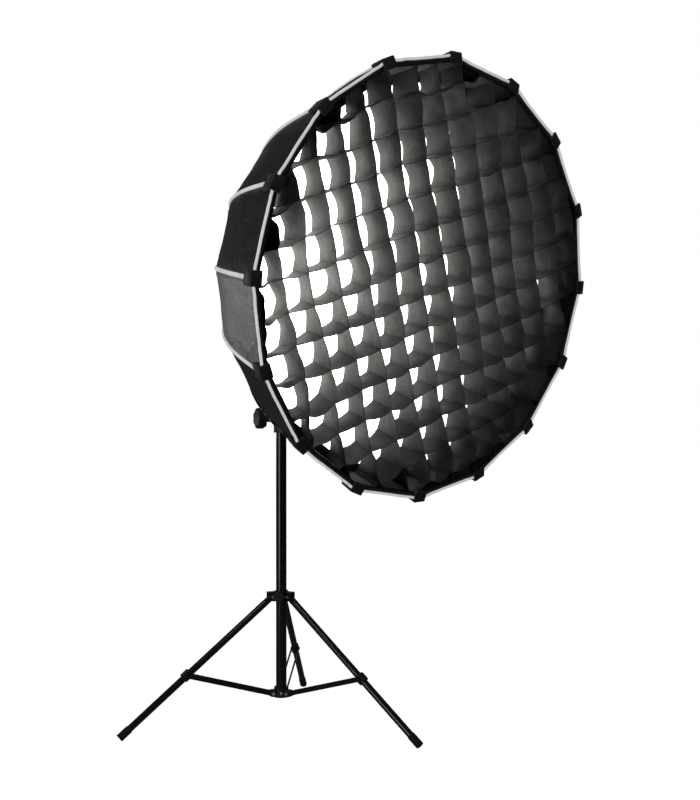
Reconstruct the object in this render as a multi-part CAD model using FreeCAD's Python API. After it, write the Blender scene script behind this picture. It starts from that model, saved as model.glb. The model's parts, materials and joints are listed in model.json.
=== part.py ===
import FreeCAD, Part
import math
import os

# Sixteen-sided softbox on a tilting lamp head, carried by a telescopic light stand.
# Lengths in millimetres, angles in degrees, +Z up, the light faces -Y. Directions round the
# column are measured from -Y towards +X. Clearances are radial or per side.

os.makedirs("parts", exist_ok=True)
V = FreeCAD.Vector
X_AXIS = V(1, 0, 0)
Y_AXIS = V(0, 1, 0)
Z_AXIS = V(0, 0, 1)
ORIGIN = V(0, 0, 0)

# --- driving dimensions: clearances --------------------------------------------------------
pin_clearance = 0.05
slide_clearance = 0.2
side_clearance = 0.3

# --- driving dimensions: stand -------------------------------------------------------------
leg_azimuths = [15.0, 135.0, 255.0]
knob_azimuth = 255.0
tube_wall = 1.2
lower_tube_r = 12.5
lower_tube_base = 64.0
lower_tube_top = 702.0
mid_tube_length = 548.0
mid_extension = 146.0
top_tube_length = 376.0
top_extension = 49.7
collar_wall = 4.5
hub_height = 71.5
leg_hinge_height = 298.1
hinge_offset = 11.5
foot_radius = 386.7
leg_tube_r = 8.0
leg_tip_wall = 1.2
leg_tip_length = 30.0
foot_flat_bite = 1.5
brace_joint_share = 0.57
brace_height = 11.0
brace_thick = 1.5
rivet_r = 2.45
tongue_half_width = 5.0
lock_knob_r = 25.0
lock_knob_depth = 22.0
lock_screw_r = 3.0
lock_screw_rise = 18.0
boss_reach = 24.0
mid_knob_r = 19.0
mid_screw_rise = 10.0
spigot_r = 8.0
spigot_length = 38.0
spigot_flange = 6.0

# --- driving dimensions: lamp head ---------------------------------------------------------
tilt_down = 10.64
yoke_drop = 125.0
yoke_plate = 5.0
yoke_arm_gap = 72.0
yoke_depth = 34.0
receiver_height = 56.0
receiver_width = 34.0
umbrella_r = 4.2
housing_half = 68.0
housing_front = 95.0
housing_back = 100.0
housing_wall = 3.0
housing_round = 16.0
panel_thick = 6.0
tilt_pin_r = 6.0
plate_thick = 12.0
lamp_bore_r = 36.0
lip_r = 44.0
lip_length = 15.0

# --- driving dimensions: softbox -----------------------------------------------------------
sides = 16
box_roll = -3.34
rim_radius = 450.0
box_depth = 410.0
rim_distance = 543.75
rib_hinge_r = 95.0
rib_rod_r = 2.5
rib_cap_r = 3.2
rib_rim_slope = 14.0
rib_rim_handle = 250.0
rib_hub_handle = 225.0
cloth_thick = 1.2
shell_inset = 4.0
ring_outer_r = 103.0
ring_inner_r = 50.0
ring_thick = 18.0
mount_ring_r = 62.0
rib_eye_r = 6.0
rib_eye_width = 8.0
hinge_pin_r = 2.0
pocket_width = 30.0
pocket_length = 24.0
pocket_thick = 2.6
band_depth = 60.0
grid_depth = 50.0
grid_pitch = 63.4
grid_turn = -18.1
grid_shift_x = 27.4
grid_shift_z = -15.6
diffuser_thick = 1.2

nodes = {}


def cylinder(radius, length, base=ORIGIN, axis=Z_AXIS):
    return Part.makeCylinder(radius, length, base, axis)


def tube(outer, inner, length, base=ORIGIN, axis=Z_AXIS):
    return cylinder(outer, length, base, axis).cut(cylinder(inner, length, base, axis))


def block(x0, x1, y0, y1, z0, z1):
    return Part.makeBox(x1 - x0, y1 - y0, z1 - z0, V(x0, y0, z0))


def merged(*shapes):
    return shapes[0].multiFuse(list(shapes[1:])).removeSplitter()


def turned(shape, axis, angle, centre=ORIGIN):
    copy = shape.copy()
    copy.rotate(centre, axis, angle)
    return copy


def moved(shape, offset):
    copy = shape.copy()
    copy.translate(offset)
    return copy


def round_column(shape, azimuth):
    """A shape drawn along +X, swung to its direction round the column."""
    return turned(shape, Z_AXIS, azimuth - 90.0)


def in_lamp(shape):
    """A shape drawn about the tilt pivot facing -Y, tilted and lifted to its place."""
    return moved(turned(shape, X_AXIS, tilt_down), V(0, 0, pivot_height))


def in_box(shape):
    """A shape drawn about the lamp axis, with the softbox's roll in its mount."""
    return in_lamp(turned(shape, Y_AXIS, box_roll))


def star_knob(radius, depth, screw_r, screw_length):
    """A seven-lobed clamping knob along +X with its screw behind it."""
    knob = cylinder(radius * 0.84, depth, ORIGIN, X_AXIS)
    lobes = []
    for index in range(7):
        angle = math.radians(index * 360.0 / 7)
        centre = V(0, math.cos(angle), math.sin(angle)) * (radius * 0.76)
        lobes.append(cylinder(radius * 0.24, depth, centre, X_AXIS))
    screw = cylinder(screw_r, screw_length + 1, V(-screw_length, 0, 0), X_AXIS)
    return merged(knob, *lobes, screw)


# --- sizes and heights that follow from the stack of sections --------------------------------
mid_tube_r = lower_tube_r - tube_wall - side_clearance
top_tube_r = mid_tube_r - tube_wall - side_clearance
hinge_radius = lower_tube_r + hinge_offset
lock_screw_height = lower_tube_top + lock_screw_rise
mid_tube_top = lower_tube_top + mid_extension
mid_tube_base = mid_tube_top - mid_tube_length
mid_screw_height = mid_tube_top + mid_screw_rise
top_tube_top = mid_tube_top + top_extension
top_tube_base = top_tube_top - top_tube_length
spigot_base = top_tube_top + spigot_flange
receiver_base = spigot_base + side_clearance
receiver_top = receiver_base + receiver_height
yoke_top_face = receiver_top + yoke_plate
pivot_height = yoke_top_face + yoke_drop

# --- lower section: tube, bottom hub, clamp collar ------------------------------------------
lower_length = lower_tube_top - lower_tube_base
nodes["lower_tube"] = tube(lower_tube_r, lower_tube_r - tube_wall, lower_length, V(0, 0, lower_tube_base))

lug_half = leg_tube_r + 0.1
strip_inner = leg_tube_r + 0.4
hub_bottom = lower_tube_base - 3
hub = merged(
    cylinder(lower_tube_r + collar_wall, 24, V(0, 0, hub_bottom)),
    *[round_column(block(10, hinge_radius, -lug_half, lug_half, hub_height - 8, hub_height + 8), a)
      for a in leg_azimuths],
    *[round_column(cylinder(8, 2 * lug_half, V(hinge_radius, -lug_half, hub_height), Y_AXIS), a)
      for a in leg_azimuths])
hub = hub.cut(cylinder(lower_tube_r, 40, V(0, 0, lower_tube_base)))
for azimuth in leg_azimuths:
    hub = hub.cut(round_column(cylinder(rivet_r, 60, V(hinge_radius, -30, hub_height), Y_AXIS), azimuth))
nodes["bottom_hub"] = hub


def rivet(height, head_at):
    """A rivet across one clevis, its heads outside the two plates or strips."""
    shank = cylinder(rivet_r, 2 * head_at, V(hinge_radius, -head_at, height), Y_AXIS)
    far_head = cylinder(4, 1.8, V(hinge_radius, head_at, height), Y_AXIS)
    near_head = cylinder(4, 1.8, V(hinge_radius, -head_at - 1.8, height), Y_AXIS)
    return merged(shank, far_head, near_head)


hub_rivet_at = strip_inner + brace_thick + side_clearance
nodes["hub_rivets"] = Part.makeCompound(
    [round_column(rivet(hub_height, hub_rivet_at), a) for a in leg_azimuths])


def clamp_collar(tube_r, next_r, tube_top, screw_height, azimuth):
    """A collar gripping a tube's top end and guiding the next tube, with a boss for its knob."""
    outer = tube_r + collar_wall + 1
    bottom = tube_top - 16
    top = screw_height + 20
    body = cylinder(outer, top - bottom, V(0, 0, bottom))
    boss = round_column(cylinder(9, outer + boss_reach, V(0, 0, screw_height), X_AXIS), azimuth)
    body = merged(body, boss)
    body = body.cut(cylinder(tube_r, 16, V(0, 0, bottom)))
    body = body.cut(cylinder(next_r + slide_clearance, 100, V(0, 0, tube_top - 1)))
    screw_hole = cylinder(lock_screw_r + pin_clearance, 80, V(0, 0, screw_height), X_AXIS)
    return body.cut(round_column(screw_hole, azimuth))


def collar_knob_for(tube_r, next_r, screw_height, radius, azimuth):
    """The lock knob of a clamp collar; its screw stops just short of the inner tube."""
    face = tube_r + collar_wall + 1 + boss_reach + side_clearance
    knob = star_knob(radius, lock_knob_depth, lock_screw_r, face - next_r - side_clearance)
    return round_column(moved(knob, V(face, 0, screw_height)), azimuth)


nodes["lower_collar"] = clamp_collar(
    lower_tube_r, mid_tube_r, lower_tube_top, lock_screw_height, knob_azimuth)
nodes["lower_lock_knob"] = collar_knob_for(
    lower_tube_r, mid_tube_r, lock_screw_height, lock_knob_r, knob_azimuth)

# --- middle and top sections -----------------------------------------------------------------
nodes["mid_tube"] = tube(
    mid_tube_r, mid_tube_r - tube_wall, mid_tube_top - mid_tube_base, V(0, 0, mid_tube_base))
nodes["mid_collar"] = clamp_collar(mid_tube_r, top_tube_r, mid_tube_top, mid_screw_height, knob_azimuth)
nodes["mid_lock_knob"] = collar_knob_for(
    mid_tube_r, top_tube_r, mid_screw_height, mid_knob_r, knob_azimuth)
nodes["top_tube"] = tube(
    top_tube_r, top_tube_r - tube_wall, top_tube_top - top_tube_base, V(0, 0, top_tube_base))

spigot = merged(
    cylinder(top_tube_r - tube_wall, 18 + spigot_flange, V(0, 0, top_tube_top - 18)),
    cylinder(spigot_r + 4, spigot_flange, V(0, 0, top_tube_top)),
    cylinder(spigot_r, spigot_length, V(0, 0, spigot_base)))
spigot_groove = spigot_base + 13
spigot = spigot.cut(tube(spigot_r + 2, spigot_r - 1.5, 10, V(0, 0, spigot_groove)))
nodes["spigot"] = spigot

# --- sliding leg collar ----------------------------------------------------------------------
plate_inner = tongue_half_width + side_clearance
plate_outer = plate_inner + 3.5
leg_collar = cylinder(lower_tube_r + collar_wall, 25, V(0, 0, leg_hinge_height - 12))
for azimuth in leg_azimuths:
    web = block(10, hinge_radius, -plate_outer, plate_outer, leg_hinge_height - 10, leg_hinge_height + 12)
    disc = cylinder(10, 2 * plate_outer, V(hinge_radius, -plate_outer, leg_hinge_height), Y_AXIS)
    shoulder = block(hinge_radius, hinge_radius + 10, -plate_outer, plate_outer,
                     leg_hinge_height, leg_hinge_height + 12)
    slot = block(lower_tube_r + 1.5, 60, -plate_inner, plate_inner,
                 leg_hinge_height - 30, leg_hinge_height + 9)
    clevis = merged(web, disc, shoulder).cut(slot)
    clevis = clevis.cut(cylinder(rivet_r, 60, V(hinge_radius, -30, leg_hinge_height), Y_AXIS))
    leg_collar = leg_collar.cut(round_column(slot, azimuth))
    leg_collar = leg_collar.fuse(round_column(clevis, azimuth))
collar_knob_azimuth = 315.0
collar_screw_height = leg_hinge_height + 1
leg_collar_boss = cylinder(6, lower_tube_r + collar_wall + 6, V(0, 0, collar_screw_height), X_AXIS)
leg_collar = leg_collar.fuse(round_column(leg_collar_boss, collar_knob_azimuth)).removeSplitter()
leg_collar = leg_collar.cut(cylinder(lower_tube_r + slide_clearance, 80, V(0, 0, leg_hinge_height - 30)))
collar_screw_hole = cylinder(lock_screw_r + pin_clearance, 80, V(0, 0, collar_screw_height), X_AXIS)
leg_collar = leg_collar.cut(round_column(collar_screw_hole, collar_knob_azimuth))
nodes["leg_collar"] = leg_collar
nodes["collar_rivets"] = Part.makeCompound(
    [round_column(rivet(leg_hinge_height, plate_outer), a) for a in leg_azimuths])

collar_knob_face = lower_tube_r + collar_wall + 6 + side_clearance
collar_knob = star_knob(
    14.0, 12.0, lock_screw_r, collar_knob_face - lower_tube_r - slide_clearance - side_clearance)
collar_knob = moved(collar_knob, V(collar_knob_face, 0, collar_screw_height))
nodes["collar_knob"] = round_column(collar_knob, collar_knob_azimuth)

# --- legs, rubber tips and braces --------------------------------------------------------------
leg_tip_r = leg_tube_r + leg_tip_wall
leg_run = foot_radius - hinge_radius
rough_pitch = math.atan2(leg_run, leg_hinge_height - leg_tube_r)
foot_end_height = leg_tip_r * math.sin(rough_pitch) - foot_flat_bite
leg_drop = leg_hinge_height - foot_end_height
leg_length = math.hypot(leg_run, leg_drop)
leg_slope = math.degrees(math.atan2(leg_drop, leg_run))
tube_start = 20.0

leg = merged(
    tube(leg_tube_r, leg_tube_r - tube_wall, leg_length - 4 - tube_start, V(tube_start, 0, 0), X_AXIS),
    cylinder(leg_tube_r - tube_wall, 22, V(tube_start, 0, 0), X_AXIS),
    block(0, tube_start + 1, -tongue_half_width, tongue_half_width, -6.5, 6.5),
    cylinder(8, 2 * tongue_half_width, V(0, -tongue_half_width, 0), Y_AXIS))
leg = leg.cut(cylinder(rivet_r + pin_clearance, 40, V(0, -20, 0), Y_AXIS))
leg_tip = cylinder(leg_tip_r, leg_tip_length, V(leg_length - leg_tip_length, 0, 0), X_AXIS)
leg_tip = leg_tip.cut(cylinder(leg_tube_r, leg_tip_length - 4, V(leg_length - leg_tip_length, 0, 0), X_AXIS))

joint_radius = hinge_radius + brace_joint_share * leg_run
joint_height = leg_hinge_height - brace_joint_share * leg_drop
brace_run = joint_radius - hinge_radius
brace_rise = joint_height - hub_height
brace_length = math.hypot(brace_run, brace_rise)
brace_slope = math.degrees(math.atan2(brace_rise, brace_run))


def brace_strip(inner_face):
    """One flat strip with rounded ends, pierced for the hub rivet."""
    half = brace_height / 2
    strip = merged(
        block(0, brace_length, inner_face, inner_face + brace_thick, -half, half),
        cylinder(half, brace_thick, V(0, inner_face, 0), Y_AXIS),
        cylinder(half, brace_thick, V(brace_length, inner_face, 0), Y_AXIS))
    return strip.cut(cylinder(rivet_r + pin_clearance, 60, V(0, -30, 0), Y_AXIS))


strip_outer = strip_inner + brace_thick
brace = Part.makeCompound([
    brace_strip(strip_inner),
    brace_strip(-strip_outer),
    cylinder(4, 1.8, V(brace_length, strip_outer, 0), Y_AXIS),
    cylinder(4, 1.8, V(brace_length, -strip_outer - 1.8, 0), Y_AXIS)])

floor_cut = block(-900, 900, -900, 900, -50, 0)
for number, azimuth in enumerate(leg_azimuths, 1):
    leg_place = V(hinge_radius, 0, leg_hinge_height)
    brace_place = V(hinge_radius, 0, hub_height)
    placed_leg = moved(turned(leg, Y_AXIS, leg_slope), leg_place)
    placed_tip = moved(turned(leg_tip, Y_AXIS, leg_slope), leg_place).cut(floor_cut)
    placed_brace = moved(turned(brace, Y_AXIS, -brace_slope), brace_place)
    nodes["leg_%d" % number] = round_column(placed_leg, azimuth)
    nodes["leg_tip_%d" % number] = round_column(placed_tip, azimuth)
    nodes["brace_%d" % number] = round_column(placed_brace, azimuth)

# --- receiver and yoke ---------------------------------------------------------------------------
half_receiver = receiver_width / 2
receiver = block(-half_receiver, half_receiver, -half_receiver, half_receiver, receiver_base, receiver_top)
receiver = receiver.makeFillet(4, [edge for edge in receiver.Edges if edge.BoundBox.ZLength > 1])
receiver = receiver.cut(cylinder(spigot_r + pin_clearance, spigot_length + 1, V(0, 0, receiver_base)))
umbrella_height = receiver_top - 9
receiver = receiver.cut(cylinder(umbrella_r, 100, V(0, -50, umbrella_height), Y_AXIS))
receiver_screw_height = spigot_groove + 5
receiver_hole = cylinder(lock_screw_r + pin_clearance, 80, V(0, 0, receiver_screw_height), X_AXIS)
nodes["receiver"] = receiver.cut(receiver_hole)
receiver_knob_face = half_receiver + side_clearance
receiver_knob = star_knob(
    18.0, 18.0, lock_screw_r, receiver_knob_face - spigot_r - side_clearance)
nodes["receiver_knob"] = moved(receiver_knob, V(receiver_knob_face, 0, receiver_screw_height))

arm_outer = yoke_arm_gap + yoke_plate
half_yoke = yoke_depth / 2
yoke = merged(
    block(-arm_outer, arm_outer, -half_yoke, half_yoke, receiver_top, yoke_top_face),
    block(-arm_outer, -yoke_arm_gap, -half_yoke, half_yoke, receiver_top, pivot_height),
    block(yoke_arm_gap, arm_outer, -half_yoke, half_yoke, receiver_top, pivot_height),
    cylinder(half_yoke, yoke_plate, V(-arm_outer, 0, pivot_height), X_AXIS),
    cylinder(half_yoke, yoke_plate, V(yoke_arm_gap, 0, pivot_height), X_AXIS))
yoke = yoke.cut(cylinder(tilt_pin_r + pin_clearance, 400, V(-200, 0, pivot_height), X_AXIS))
nodes["yoke"] = yoke

pin_end = arm_outer + 1
knob_face = pin_end + side_clearance
tilt_knob = merged(
    cylinder(15, 16, V(knob_face, 0, 0), X_AXIS),
    block(knob_face + 5, knob_face + 14, -6, 6, -62, 0),
    cylinder(6, 9, V(knob_face + 5, 0, -62), X_AXIS))
nodes["tilt_knob"] = moved(turned(tilt_knob, X_AXIS, 25), V(0, 0, pivot_height))

# --- lamp head -------------------------------------------------------------------------------------
def rounded_sleeve(half, radius, y0, y1):
    """A square bar along Y with its four long edges rounded."""
    bar = block(-half, half, y0, y1, -half, half)
    long_edges = [edge for edge in bar.Edges if edge.BoundBox.YLength > 1]
    return bar.makeFillet(radius, long_edges)


inner_half = housing_half - housing_wall
housing = rounded_sleeve(housing_half, housing_round, -housing_front, housing_back)
housing = housing.cut(rounded_sleeve(inner_half, housing_round - housing_wall,
                                     -housing_front - 1, housing_back + 1))
for index in range(7):
    vent_y = -60 + index * 9
    vent_x = housing_half + 1
    housing = housing.cut(block(-vent_x, vent_x, vent_y, vent_y + 4, 26, 46))
    housing = housing.cut(block(-vent_x, vent_x, vent_y, vent_y + 4, -46, -26))
housing = housing.cut(cylinder(tilt_pin_r, 400, V(-200, 0, 0), X_AXIS))
nodes["housing"] = in_lamp(housing)

tilt_pin = merged(
    cylinder(tilt_pin_r, pin_end - inner_half + 6, V(inner_half - 6, 0, 0), X_AXIS),
    cylinder(15, yoke_arm_gap - housing_half - side_clearance, V(housing_half, 0, 0), X_AXIS),
    cylinder(10, 4, V(inner_half - 4, 0, 0), X_AXIS))
nodes["tilt_pins"] = in_lamp(Part.makeCompound([tilt_pin, turned(tilt_pin, Z_AXIS, 180)]))

plate_back = -housing_front
plate_front = -housing_front - plate_thick
front_plate = merged(
    rounded_sleeve(housing_half, housing_round, plate_front, plate_back),
    cylinder(lip_r, lip_length, V(0, plate_front - lip_length, 0), Y_AXIS))
nodes["bayonet_plate"] = in_lamp(front_plate.cut(cylinder(lamp_bore_r, 60, V(0, -130, 0), Y_AXIS)))

module_half = 50.0
module = merged(
    block(-module_half, module_half, plate_back, plate_back + 6, -module_half, module_half),
    cylinder(17, 4, V(0, plate_back - 3, 0), Y_AXIS),
    *[block(-module_half + i * 10, -module_half + i * 10 + 2, plate_back + 5, plate_back + 45,
            -module_half, module_half) for i in range(1, 10)])
nodes["led_module"] = in_lamp(module)

fan_front = housing_back - 26
fan_axle_r = 3.0
fan_blades = []
for index in range(7):
    blade = block(12, 50, fan_front + 2, fan_front + 14, -1, 1)
    blade = turned(blade, X_AXIS, 35, V(0, fan_front + 8, 0))
    fan_blades.append(turned(blade, Y_AXIS, index * 360.0 / 7))
fan = merged(cylinder(16, 16, V(0, fan_front, 0), Y_AXIS), *fan_blades)
fan = fan.cut(cylinder(fan_axle_r + pin_clearance, 40, V(0, fan_front - 10, 0), Y_AXIS))
nodes["fan"] = in_lamp(fan)

panel_back = housing_back + panel_thick
dial_at = V(34, 0, 36)
display_at = V(-22, 0, 40)
switch_at = V(42, 0, -42)
inlet_at = V(-24, 0, -44)
panel = merged(
    rounded_sleeve(housing_half, housing_round, housing_back, panel_back),
    cylinder(fan_axle_r, housing_back - fan_front, V(0, fan_front, 0), Y_AXIS))
panel = panel.cut(cylinder(3.05, 40, V(dial_at.x, housing_back - 10, dial_at.z), Y_AXIS))
panel = panel.cut(block(display_at.x - 25, display_at.x + 25, panel_back - 2, panel_back + 1,
                        display_at.z - 13, display_at.z + 13))
panel = panel.cut(block(switch_at.x - 10.3, switch_at.x + 10.3, housing_back - 1, panel_back + 1,
                        switch_at.z - 7.3, switch_at.z + 7.3))
panel = panel.cut(block(inlet_at.x - 14, inlet_at.x + 14, housing_back - 1, panel_back + 1,
                        inlet_at.z - 10, inlet_at.z + 10))
for index in range(5):
    slot_z = -18 + index * 7
    panel = panel.cut(block(-56, -8, housing_back - 1, panel_back + 1, slot_z, slot_z + 3.5))
    panel = panel.cut(block(8, 56, housing_back - 1, panel_back + 1, slot_z, slot_z + 3.5))
nodes["rear_panel"] = in_lamp(panel)

dial = merged(
    cylinder(12, 12, V(dial_at.x, panel_back + side_clearance, dial_at.z), Y_AXIS),
    cylinder(fan_axle_r, 12, V(dial_at.x, panel_back + 1 - 12, dial_at.z), Y_AXIS))
nodes["dial"] = in_lamp(dial)
nodes["display"] = in_lamp(block(
    display_at.x - 25, display_at.x + 25, panel_back - 2, panel_back,
    display_at.z - 13, display_at.z + 13))

rocker = merged(
    turned(block(0, 9.7, -3, 2, -7, 7), Z_AXIS, 9),
    turned(block(-9.7, 0, -3, 2, -7, 7), Z_AXIS, -9))
rocker = turned(rocker, Z_AXIS, 9)
nodes["power_switch"] = in_lamp(moved(rocker, V(switch_at.x, panel_back - 0.5, switch_at.z)))

inlet = block(-14, 14, -18, 0, -10, 10)
inlet = inlet.cut(block(-12, 12, -15, 1, -8, 8))
for blade_x, blade_z in ((-7, -2), (0, 2), (7, -2)):
    inlet = inlet.fuse(block(blade_x - 1, blade_x + 1, -16, -8, blade_z - 2, blade_z + 2))
inlet = inlet.removeSplitter()
nodes["inlet"] = in_lamp(moved(inlet, V(inlet_at.x, panel_back, inlet_at.z)))

# --- softbox mount ring and speed ring ---------------------------------------------------------------
hinge_distance = rim_distance - box_depth
ring_back = -(hinge_distance - ring_thick / 2)
ring_front = -(hinge_distance + ring_thick / 2)
mount_start = plate_front - side_clearance
mount_ring = tube(mount_ring_r, lip_r + pin_clearance, mount_start - ring_back, V(0, ring_back, 0), Y_AXIS)
nodes["mount_ring"] = in_box(mount_ring)

speed_ring = tube(ring_outer_r, ring_inner_r, ring_thick, V(0, ring_front, 0), Y_AXIS)
slot_half = rib_eye_width / 2 + side_clearance
rib_step = 360.0 / sides
pins = []
for index in range(sides):
    slot = block(-slot_half, slot_half, ring_front - 1, ring_back + 1,
                 rib_hinge_r - rib_eye_r - 2, ring_outer_r + 5)
    hole = cylinder(hinge_pin_r, 24, V(-12, -hinge_distance, rib_hinge_r), X_AXIS)
    pin = cylinder(hinge_pin_r, 20, V(-10, -hinge_distance, rib_hinge_r), X_AXIS)
    speed_ring = speed_ring.cut(turned(slot.fuse(hole), Y_AXIS, index * rib_step))
    pins.append(turned(pin, Y_AXIS, index * rib_step))
nodes["speed_ring"] = in_box(speed_ring)
nodes["hinge_pins"] = in_box(Part.makeCompound(pins))

# --- ribs: sprung rods bent from the speed ring out to the rim --------------------------------------
rib_rim_r = rim_radius - shell_inset - cloth_thick
rib_rim_y = -(rim_distance - 1)
slope = math.radians(rib_rim_slope)
rib_curve = Part.BezierCurve()
rib_curve.setPoles([
    V(0, -hinge_distance, rib_hinge_r),
    V(0, -hinge_distance, rib_hinge_r + rib_hub_handle),
    V(0, rib_rim_y + rib_rim_handle, rib_rim_r - rib_rim_handle * math.tan(slope)),
    V(0, rib_rim_y, rib_rim_r)])


def rib_station(share):
    """Radius, forward distance and outward unit normal at a share of the rib's curve."""
    point = rib_curve.value(share)
    tangent = rib_curve.tangent(share)[0]
    normal = V(0, tangent.z, -tangent.y)
    return point, normal


def rib_share_at(distance):
    """The share of the curve that lies this far in front of the tilt pivot."""
    low = 0.0
    high = 1.0
    for _ in range(40):
        middle = (low + high) / 2
        if -rib_curve.value(middle).y < distance:
            low = middle
        else:
            high = middle
    return low


def arc_from(start, tangent, end):
    """The circular arc that leaves start along its tangent and ends at end."""
    chord = end - start
    side = tangent.cross(X_AXIS)
    radius = chord.dot(chord) / (2 * side.dot(chord))
    centre = start + side * radius
    outward = (start + end) * 0.5 - centre
    outward.normalize()
    return Part.Arc(start, centre + outward * abs(radius), end).toShape()


def arc_pair(share_a, share_b):
    """Two tangent arcs that follow the rib's curve between two shares of it."""
    start = rib_curve.value(share_a)
    end = rib_curve.value(share_b)
    leaving = rib_curve.tangent(share_a)[0]
    arriving = rib_curve.tangent(share_b)[0]
    span = end - start
    bend = 2 * (1 - leaving.dot(arriving))
    along = span.dot(leaving + arriving)
    reach = (math.sqrt(along * along + bend * span.dot(span)) - along) / bend
    middle = (start + end + (leaving - arriving) * reach) * 0.5
    first = arc_from(start, leaving, middle)
    middle_tangent = end - arriving * reach - (start + leaving * reach)
    middle_tangent.normalize()
    return [first, arc_from(middle, middle_tangent, end)]


rod_start = rib_share_at(hinge_distance + 0.05)
rod_shares = [rod_start, 0.2, 0.4, 0.6, 0.8, 0.99]
rod_path = []
for share_a, share_b in zip(rod_shares, rod_shares[1:]):
    rod_path.extend(arc_pair(share_a, share_b))
start_point = rib_curve.value(rod_start)
start_tangent = rib_curve.tangent(rod_start)[0]
rod_circle = Part.Circle(start_point, start_tangent, rib_rod_r).toShape()
rod = Part.Wire(rod_path).makePipe(Part.Face(Part.Wire([rod_circle])))
tip_tangent = rib_curve.tangent(1.0)[0]
tip_point = rib_curve.value(1.0)
tip_cap = cylinder(rib_cap_r, 14, tip_point - tip_tangent * 14, tip_tangent)
eye = cylinder(rib_eye_r, rib_eye_width, V(-rib_eye_width / 2, -hinge_distance, rib_hinge_r), X_AXIS)
ferrule = cylinder(rib_cap_r, 12, V(0, -hinge_distance, rib_hinge_r + 4), Z_AXIS)
rib = merged(rod, tip_cap, eye, ferrule)
rib = rib.cut(cylinder(hinge_pin_r + pin_clearance, 40, V(-20, -hinge_distance, rib_hinge_r), X_AXIS))
for index in range(sides):
    nodes["rib_%02d" % (index + 1)] = in_box(turned(rib, Y_AXIS, index * rib_step))


# --- cloth parts -------------------------------------------------------------------------------------
def ring_wire(radius, y):
    """A closed sixteen-sided outline across the lamp axis with a corner at each rib."""
    corners = []
    for index in range(sides):
        angle = math.radians(index * rib_step)
        corners.append(V(radius * math.sin(angle), y, radius * math.cos(angle)))
    return Part.makePolygon(corners + [corners[0]])


def sixteen_sided(stations):
    """A solid through a row of sixteen-sided outlines given as (radius, y)."""
    return Part.makeLoft([ring_wire(radius, y) for radius, y in stations], True, True)


def offset_stations(offset, shares):
    """Outlines that follow the ribs at an offset from their centre line."""
    stations = []
    for share in shares:
        point, normal = rib_station(share)
        place = point + normal * offset
        stations.append((place.z, place.y))
    return stations


shell_start = rib_share_at(hinge_distance + 0.35)
shell_shares = [shell_start + (1.0 - shell_start) * i / 10 for i in range(11)]
outer_stations = offset_stations(shell_inset + cloth_thick, shell_shares)
inner_stations = offset_stations(shell_inset, shell_shares)
back_radius = inner_stations[0][0]
rim_inner_radius, rim_inner_y = inner_stations[-1]
outer_stations = outer_stations[:-1] + [(rim_radius, rim_inner_y)]
inner_stations = [(back_radius, outer_stations[0][1] + 1)] + inner_stations
inner_stations = inner_stations + [(rim_inner_radius + 0.25, rim_inner_y - 1)]
nodes["outer_shell"] = in_box(sixteen_sided(outer_stations).cut(sixteen_sided(inner_stations)))

band_start = rib_share_at(rim_distance - 1 - band_depth)
band_shares = [band_start, (1 + band_start) / 2, 0.995]
band_outer = offset_stations(-(rib_cap_r + 0.4), band_shares)
band_inner = offset_stations(-(rib_cap_r + 0.4 + cloth_thick), band_shares)
band_solid = sixteen_sided(band_outer)
first_r, first_y = band_inner[0]
last_r, last_y = band_inner[-1]
band_bore = sixteen_sided([(first_r - 0.25, first_y + 3)] + band_inner + [(last_r + 0.75, last_y - 3)])
nodes["front_band"] = in_box(band_solid.cut(band_bore))

diffuser_r = first_r - 0.3
nodes["front_diffuser"] = in_box(sixteen_sided([
    (diffuser_r, first_y), (diffuser_r, first_y - diffuser_thick)]))

grid_back = first_y - diffuser_thick - 0.5
grid_front = grid_back - grid_depth
taper = math.tan(slope)
grid_outline = sixteen_sided([
    (diffuser_r - 0.3, grid_back), (diffuser_r - 0.3 + grid_depth * taper * 0.93, grid_front)])
walls = []
half_wall = cloth_thick / 2
wall_reach = rim_radius + 50
wall_count = math.ceil(rim_radius / grid_pitch) + 1
for index in range(-wall_count, wall_count + 1):
    row_z = index * grid_pitch + grid_shift_z
    column_x = index * grid_pitch + grid_shift_x
    walls.append(block(-wall_reach, wall_reach, grid_front - 1, grid_back + 1,
                       row_z - half_wall, row_z + half_wall))
    walls.append(block(column_x - half_wall, column_x + half_wall, grid_front - 1, grid_back + 1,
                       -wall_reach, wall_reach))
lattice = turned(walls[0].multiFuse(walls[1:]), Y_AXIS, grid_turn)
rim_strip = grid_outline.cut(sixteen_sided([
    (diffuser_r - 1.8, grid_back + 1), (diffuser_r - 1.8, grid_back),
    (diffuser_r - 1.8 + grid_depth * taper * 0.93, grid_front),
    (diffuser_r - 1.8 + grid_depth * taper * 0.93, grid_front - 1)]))
nodes["grid"] = in_box(lattice.common(grid_outline).fuse(rim_strip).removeSplitter())

pocket_plate = block(-pocket_width / 2, pocket_width / 2, -2, pocket_length, 0.7, 0.7 + pocket_thick)
pocket_front = block(-pocket_width / 2, pocket_width / 2, -2 - pocket_thick, -2,
                     -18, 0.7 + pocket_thick)
pocket = merged(pocket_plate, pocket_front)
pocket = moved(turned(pocket, X_AXIS, -rib_rim_slope), V(0, -rim_distance, rim_radius))
nodes["tip_pockets"] = in_box(Part.makeCompound(
    [turned(pocket, Y_AXIS, index * rib_step) for index in range(sides)]))

# --- origin: bottom centre of the whole object's box ---------------------------------------------------
bounds = FreeCAD.BoundBox()
for shape in nodes.values():
    bounds.add(shape.optimalBoundingBox(False, False))
shift = V(-(bounds.XMin + bounds.XMax) / 2, -(bounds.YMin + bounds.YMax) / 2, -bounds.ZMin)

for name, shape in nodes.items():
    moved(shape, shift).exportStep("parts/%s.step" % name)
print("nodes", len(nodes), "shift", shift)
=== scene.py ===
import json
import math

import bmesh
import bpy
from mathutils import Matrix, Vector, noise


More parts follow.
